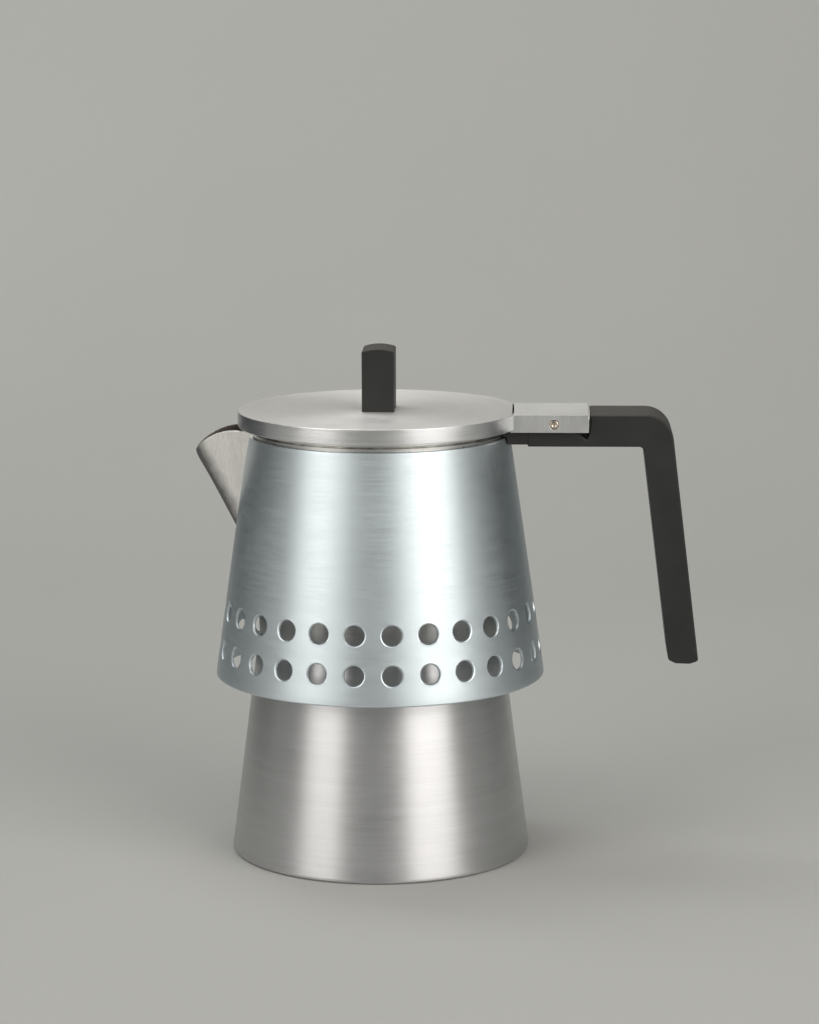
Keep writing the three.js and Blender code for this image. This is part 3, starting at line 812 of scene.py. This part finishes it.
# ------------------------------------------------------------------ collector
def make_collector():
    """Vessel with its grooved and beaded rim, the collar's thread, and the riser with its cap."""
    groove_r = VESSEL_R - 0.5
    bead_r = VESSEL_R + 0.15
    vessel = turned([
        (6.2, 96.6, 0.2), (30.6, 96.6, 0.2), (30.6, 95.2, 0.2), (35.9, 95.2, 0.2), (35.9, 78.4, 0.4),
        (42.3, 78.4, 0.5), (42.5, 94, 0.5), (43.2, 98, 0.5), (43.6, 139, 1), (VESSEL_R, 145, 1),
        (VESSEL_R, RIM_Z - 1.6, 0.1), (groove_r, RIM_Z - 1.5, 0.1), (groove_r, RIM_Z - 1.1, 0.1),
        (bead_r, RIM_Z - 1.0, 0.15), (bead_r, RIM_Z, 0.3), (42.9, RIM_Z, 0.35), (42.9, 145, 1),
        (42.3, 139, 1), (41.9, 103, 1), (40.6, 100.2, 2), (38, FLOOR_Z, 1), (6.2, FLOOR_Z, 0.2),
    ], 216)
    vessel = worked(vessel, [spout_core(SHEET * 0.5)])
    cup = piece(vessel, "coffee_vessel", "collector", "brushed_aluminium", RIM_METAL, ["collector_vessel"])
    cup.data.materials.append(WALL_METAL)
    for face in cup.data.polygons:
        if face.center.z < SKIRT_HIGH.z * MM - 0.01:
            face.material_index = 1
    ridge = thread_ridge(36.2, COLLAR_CREST, 79.6, 3.2)
    piece(ridge, "collar_thread", "collector", "brushed_aluminium", BRUSHED_NECK, sharp=25)
    column = turned([
        (2.8, 96.7, 0.3), (6, 96.7, 0.3), (6, FLOOR_Z + 0.1, 0), (9.5, FLOOR_Z + 0.1, 0.4), (9.5, 101, 0.7),
        (5.4, 103, 2), (4.6, 132, 0.2), (2.8, 132, 0.2),
    ], 64)
    column = worked(column, [block((-10, -1.3, 124), (10, 1.3, 129))])
    piece(column, "riser_tube", "collector", "brushed_aluminium", BRUSHED_NECK, ["brew_column"])
    dome = [(r, z, 0) for r, z in arc((0, 133.4), 7, 0, math.pi / 2, 10)][:-1]
    dome = [(r, 133.4 + (z - 133.4) * 0.54, 0) for r, z, _ in dome] + [(0, 137.2, 0)]
    cap = turned([(0, 130.4, 0), (2.4, 130.4, 0.3), (2.4, 132.3, 0.2), (6.6, 132.3, 0.3), *dome], 64)
    piece(cap, "riser_cap", "collector", "brushed_aluminium", BRUSHED_NECK, ["column_cap"])


# ------------------------------------------------------------------ handle
def handle_outline():
    """Side view as (x, z): arm, inner corner, leaning grip with a crowned end, outer corner, knuckle."""
    knuckle = PIN_R + 0.75
    sweep = math.hypot(CHANNEL_HIGH.x - PIN_X, LID_TOP - PIN_Z) + 0.3
    reach = math.sqrt(sweep ** 2 - knuckle ** 2)
    lean = math.atan(GRIP_SLOPE)
    floor_x = knuckle * math.sin(OPEN_ANGLE) + reach * math.cos(OPEN_ANGLE)
    floor_z = knuckle * math.cos(OPEN_ANGLE) - reach * math.sin(OPEN_ANGLE)

    def inner_x(z):
        return GRIP_INNER_X + (ARM_LOW - z) * GRIP_SLOPE

    corner_z = ARM_TOP - CORNER_R
    corner_x = inner_x(corner_z) + GRIP_WIDTH - CORNER_R / math.cos(lean)
    fillet = 1.8
    points = [(ARM_START, ARM_LOW)]
    points += arc((GRIP_INNER_X - fillet, ARM_LOW - fillet), fillet, math.pi / 2, lean, 6)
    foot_x = inner_x(GRIP_LOW)
    end = [(inner_x(GRIP_LOW + 8), GRIP_LOW + 8, 0), (foot_x, GRIP_LOW, 1.6),
           (foot_x + 2.6, GRIP_LOW - 1.25, 1.5), (foot_x + 7.5, GRIP_LOW - 1.4, 1.5),
           (foot_x + GRIP_WIDTH, GRIP_LOW - 0.4, 1.1), (foot_x + GRIP_WIDTH - 0.6, GRIP_LOW + 5, 0)]
    points += [tuple(corner) for corner in eased(end, False, 4)[1:-1]]
    points += arc((corner_x, corner_z), CORNER_R, lean, math.pi / 2, 16)
    pin = (PIN_X, PIN_Z)
    points += arc(pin, sweep, math.asin((ARM_TOP - PIN_Z) / sweep), math.atan2(floor_z, floor_x), 8)
    points += arc(pin, knuckle, math.pi / 2 - OPEN_ANGLE, math.pi * 0.8, 10)
    points += [(PIN_X - 4, BRACKET_HIGH.z), (ARM_START, BRACKET_HIGH.z)]
    return points


def make_handle():
    """Black bar, the lug whose tongue runs into it, and the two screws from below."""
    bar = slab(handle_outline(), ARM_HALF)

    def on_side_face(edge):
        return all(abs(abs(v.co.y) - ARM_HALF) < 0.01 for v in edge.verts)

    soften(bar, 0.55, 3, degrees=40, keep=on_side_face)
    drills = [moved(rod(PIN_R + 0.2, -20, 20, 32), across(PIN_X, PIN_Z)),
              block((ARM_START - 1, -8.3, 146.5), (66.3, 8.3, 149.2))]
    for x in SCREW_X:
        drills.append(rod(3.1, 140, 145.9, 32, (x, 0)))
    bar = worked(bar, drills)
    piece(bar, "handle_bar", "collector", "black_bar", BLACK_BAR, ["handle"])
    lug = block((38, -11.7, BRACKET_LOW.z), (ARM_START + 0.6, 11.7, BRACKET_HIGH.z - 0.02))
    lug = worked(lug, [rod(46.0, 140, 148, 180), rod(VESSEL_R + 0.02, 147, 152, 180),
                       block((30, -14, 140), (43, 14, 153))])
    tongue = block((ARM_START - 1, -8, 146.8), (66, 8, 148.9))
    lug = soften(worked(lug, [tongue], "UNION"), 0.2, 2, degrees=50)
    piece(lug, "handle_lug", "collector", "bare_steel", LUG_DARK, ["handle_bracket"])
    for number, x in enumerate(SCREW_X, 1):
        screw = turned([(0, 144.8, 0), (2.8, 144.8, 0.2), (2.8, 145.6, 0.1), (1.5, 145.9, 0.2),
                        (1.5, 148.7, 0.2), (0, 148.7, 0)], 48)
        cross = [block((-2, -0.35, 144), (2, 0.35, 145.25)), block((-0.35, -2, 144), (0.35, 2, 145.25))]
        screw = worked(screw, cross)
        place = Matrix.Translation((x, 0, 0))
        piece(moved(screw, place), f"bar_screw_{number}", "collector", "bare_steel", BARE_STEEL,
              [f"handle_screw_{number}"])


# ------------------------------------------------------------------ lid
def make_lid():
    """Lid disc with its locating lip, the hinge channel cut to its rim, and the riveted pin."""
    disc = turned([
        (2.1, 153.4, 0), (40.8, 153.4, 0.8), (40.8, LIP_LOW, 0.3), (42.3, LIP_LOW, 0.4),
        (42.3, LID_UNDER, 0.2), (LID_R, LID_UNDER, 0.3), (LID_R, LID_TOP, 0.3), (2.1, LID_TOP, 0),
    ], 240)
    disc = worked(disc, [block((46.3, -12.3, 140), (60, 12.3, 160))])
    lid = piece(disc, "lid_plate", "lid", "turned_lid", TURNED_LID, ["lid_disc"])
    lid.data.materials.append(LID_RIM)
    for face in lid.data.polygons:
        if abs(face.normal.z) < 0.5:
            face.material_index = 1
    cheek = ARM_HALF + 0.3
    channel = block((45.6, -CHANNEL_HALF, CHANNEL_LOW.z), (CHANNEL_HIGH.x, CHANNEL_HALF, LID_TOP))
    rim = worked(rod(LID_R - 1.2, 140, 160, 240), [block((46.9, -12, 130), (60, 12, 170))])
    channel = worked(channel, [block((40, -cheek, 140), (80, cheek, LID_TOP - WEB)), rim,
                               moved(rod(PIN_HEAD + 0.12, -20, 20, 48), across(PIN_X, PIN_Z))])

    def clear_of_rim(edge):
        on_outside = all(abs(v.co.y) > CHANNEL_HALF - 0.01 for v in edge.verts)
        return on_outside or min(v.co.x for v in edge.verts) > 48.5

    soften(channel, 0.22, 2, degrees=50, keep=clear_of_rim)
    bridge = piece(channel, "hinge_channel", "lid", "turned_lid", CHANNEL_BRUSHED, ["lid_hinge_channel"])
    bridge.data.materials.append(CHEEK_BRUSHED)
    for face in bridge.data.polygons:
        if abs(face.normal.y) > 0.9:
            face.material_index = 1
    half = CHANNEL_HALF
    pin = turned([
        (0, -half + 0.35, 0), (0.45, -half + 0.3, 0.1), (0.9, -half - 0.02, 0.15),
        (PIN_HEAD, -half + 0.12, 0.2), (PIN_HEAD, -ARM_HALF - 0.5, 0.1),
        (PIN_R, -ARM_HALF - 0.5, 0.1), (PIN_R, ARM_HALF + 0.5, 0.1),
        (PIN_HEAD, ARM_HALF + 0.5, 0.1), (PIN_HEAD, half - 0.12, 0.2), (0.9, half + 0.02, 0.15),
        (0.45, half - 0.3, 0.1), (0, half - 0.35, 0),
    ], 48)
    piece(moved(pin, across(PIN_X, PIN_Z)), "hinge_rivet", "lid", "pin_steel", PIN_STEEL, ["hinge_pin"])


def make_knob():
    """Black plate with a crowned top, and the screw and washer under the lid."""
    half = (KNOB_HIGH - KNOB_LOW) / 2
    low = LID_TOP + 0.02
    outline = [(-half.x, low), (half.x, low)]
    side, crest = KNOB_HIGH.z - 1.0, KNOB_HIGH.z - 0.05
    radius = (half.x ** 2 + (crest - side) ** 2) / (2 * (crest - side))
    spread = math.asin(half.x / radius)
    outline += arc((0, crest - radius), radius, math.pi / 2 - spread, math.pi / 2 + spread, 10)
    knob = slab(outline, half.y)
    soften(knob, 0.4, 3, degrees=40, keep=lambda e: max(v.co.z for v in e.verts) > low + 1)
    knob = worked(knob, [rod(2.1, low - 1, 166.5, 32)])
    piece(knob, "knob_plate", "lid", "black_bar", BLACK_BAR, ["lid_knob"])
    screw = turned([(0, 149.9, 0), (3.2, 149.9, 0.3), (3.5, 151.8, 0.2), (1.8, 151.8, 0.2), (1.8, 166, 0.4),
                    (0, 166, 0)], 48)
    screw = worked(screw, [block((-4, -0.4, 149), (4, 0.4, 150.7))])
    piece(screw, "knob_fixing", "lid", "bare_steel", BARE_STEEL, ["knob_screw"])
    washer = turned([(2.1, 151.9, 0.1), (4.5, 151.9, 0.2), (4.5, 152.9, 0.2), (2.1, 152.9, 0.1)], 48)
    piece(washer, "fixing_washer", "lid", "bare_steel", BARE_STEEL, ["knob_washer"])


make_boiler()
make_valve()
make_basket()
make_spout()
make_skirt()
make_collector()
make_handle()
make_lid()
make_knob()


# ------------------------------------------------------------------ studio
PAPER = (0.42, 0.42, 0.401)
WARM = (1.0, 0.97, 0.93)
FLAG_APART = 0.34        # metres from the pot's axis
FLAG_HEIGHT = 0.19       # of the card's middle
FLAG_TALL = 0.44


def make_stage():
    """A pale grey floor that sweeps up into a backdrop far behind."""
    finish, tree, shader = new_finish("studio_paper", PAPER, 0.0, 0.85)
    fibre = noise(tree, object_point(tree), 700, detail=4)
    cloud = noise(tree, object_point(tree), 3, detail=3)
    mix = combine(tree, "ADD", combine(tree, "MULTIPLY", fibre, 0.4), combine(tree, "MULTIPLY", cloud, 0.6))
    tree.links.new(tinted(tree, remap(tree, mix, 0, 1), shade(PAPER, 0.97), shade(PAPER, 1.03)),
                   shader.inputs["Base Color"])
    bm = bmesh.new()
    profile = [(-3.0, 0.0), *arc((0.45, 0.9), 0.9, -math.pi / 2, 0, 24), (1.35, 3.0)]
    verts = [bm.verts.new((-4, y, z)) for y, z in profile]
    edges = [bm.edges.new(pair) for pair in zip(verts, verts[1:])]
    grown = bmesh.ops.extrude_edge_only(bm, edges=edges)["geom"]
    bmesh.ops.translate(bm, vec=(8, 0, 0), verts=[g for g in grown if isinstance(g, bmesh.types.BMVert)])
    for face in bm.faces:
        face.smooth = True
    bmesh.ops.recalc_face_normals(bm, faces=bm.faces)
    stage = as_object(bm, "studio_sweep")
    stage.data.materials.append(finish)


def softbox(name, place, aim, size, power, tint=(1, 1, 1)):
    """A soft area light at a place, aimed at a point, both in metres."""
    light = bpy.data.lights.new(name, "AREA")
    light.shape = "RECTANGLE"
    light.size, light.size_y = size
    light.energy = power
    light.color = tint
    lamp = bpy.data.objects.new(name, light)
    lamp.location = place
    lamp.rotation_euler = (Vector(aim) - lamp.location).to_track_quat("-Z", "Y").to_euler()
    lamp.visible_camera = False
    bpy.context.scene.collection.objects.link(lamp)


def beside(azimuth, distance, height):
    """A place round the pot. Azimuth 0 is beside the camera, positive to the right."""
    turn = math.radians(azimuth)
    return (distance * math.sin(turn), -distance * math.cos(turn), height)


def flag(name, azimuth, width, tone):
    """A dark card that only shows in reflections, to keep the pot's sides dark."""
    finish, tree, shader = new_finish(name, tone, 0.0, 0.95)
    weave = noise(tree, object_point(tree), 900, detail=2)
    tree.links.new(remap(tree, weave, 0.9, 1.0), shader.inputs["Roughness"])
    bm = bmesh.new()
    bmesh.ops.create_grid(bm, x_segments=1, y_segments=1, size=0.5)
    card = as_object(bm, name)
    card.data.materials.append(finish)
    toward = Vector(beside(azimuth, FLAG_APART, FLAG_HEIGHT))
    turn = (-toward).to_track_quat("Z", "Y").to_matrix().to_4x4()
    card.matrix_world = Matrix.Translation(toward) @ turn @ Matrix.Diagonal((width, FLAG_TALL, 1, 1))
    for kind in ("camera", "diffuse", "shadow", "transmission", "volume_scatter"):
        setattr(card, f"visible_{kind}", False)


def make_flags():
    """One dark card behind the pot on each side."""
    flag("left_flag", -121, 0.34, (0.075, 0.083, 0.087))
    flag("right_flag", 123, 0.34, (0.15, 0.165, 0.17))


def make_lights():
    """Two tall softboxes beside the camera, one overhead, one on the backdrop, and soft air."""
    pot = (0, 0, 0.09)
    softbox("left_softbox", beside(-45.5, 1.3, 0.6), pot, (0.82, 1.1), 8.0, WARM)
    softbox("right_softbox", beside(44, 1.3, 0.6), pot, (1.02, 1.1), 12.3, WARM)
    softbox("overhead_softbox", (-0.15, -0.15, 1.6), pot, (1.4, 1.2), 8.2)
    softbox("backdrop_softbox", (-0.45, 0.5, 1.5), (-0.2, 1.3, 0.2), (1.4, 0.5), 8.0)
    world = bpy.data.worlds.new("studio_air")
    world.use_nodes = True
    world.node_tree.nodes["Background"].inputs["Color"].default_value = (0.15, 0.153, 0.15, 1)
    world.node_tree.nodes["Background"].inputs["Strength"].default_value = 1.0
    bpy.context.scene.world = world
    bpy.context.scene.view_settings.view_transform = "Standard"


def make_camera():
    """A long lens a little above the lid, slightly round to the handle's side, looking down ten degrees."""
    azimuth = math.radians(2.6)
    yaw, pitch, roll = 0.0091, 0.1753, 0.003
    distance, eye_height = 1.150, 0.3233
    heading = yaw - azimuth
    level = math.cos(pitch)
    ahead = Vector((math.sin(heading) * level, math.cos(heading) * level, -math.sin(pitch)))
    right = Vector((math.cos(heading), -math.sin(heading), 0))
    up = right.cross(ahead)
    right, up = (right - roll * up).normalized(), (up + roll * right).normalized()
    camera = bpy.data.objects.new("camera", bpy.data.cameras.new("camera"))
    camera.data.lens = 117.56
    camera.data.sensor_width = 36
    turn = Matrix((right, up, -ahead)).transposed()
    place = (distance * math.sin(azimuth), -distance * math.cos(azimuth), eye_height)
    camera.matrix_world = Matrix.Translation(place) @ turn.to_4x4()
    bpy.context.scene.collection.objects.link(camera)
    bpy.context.scene.camera = camera


make_stage()
make_flags()
make_lights()
make_camera()
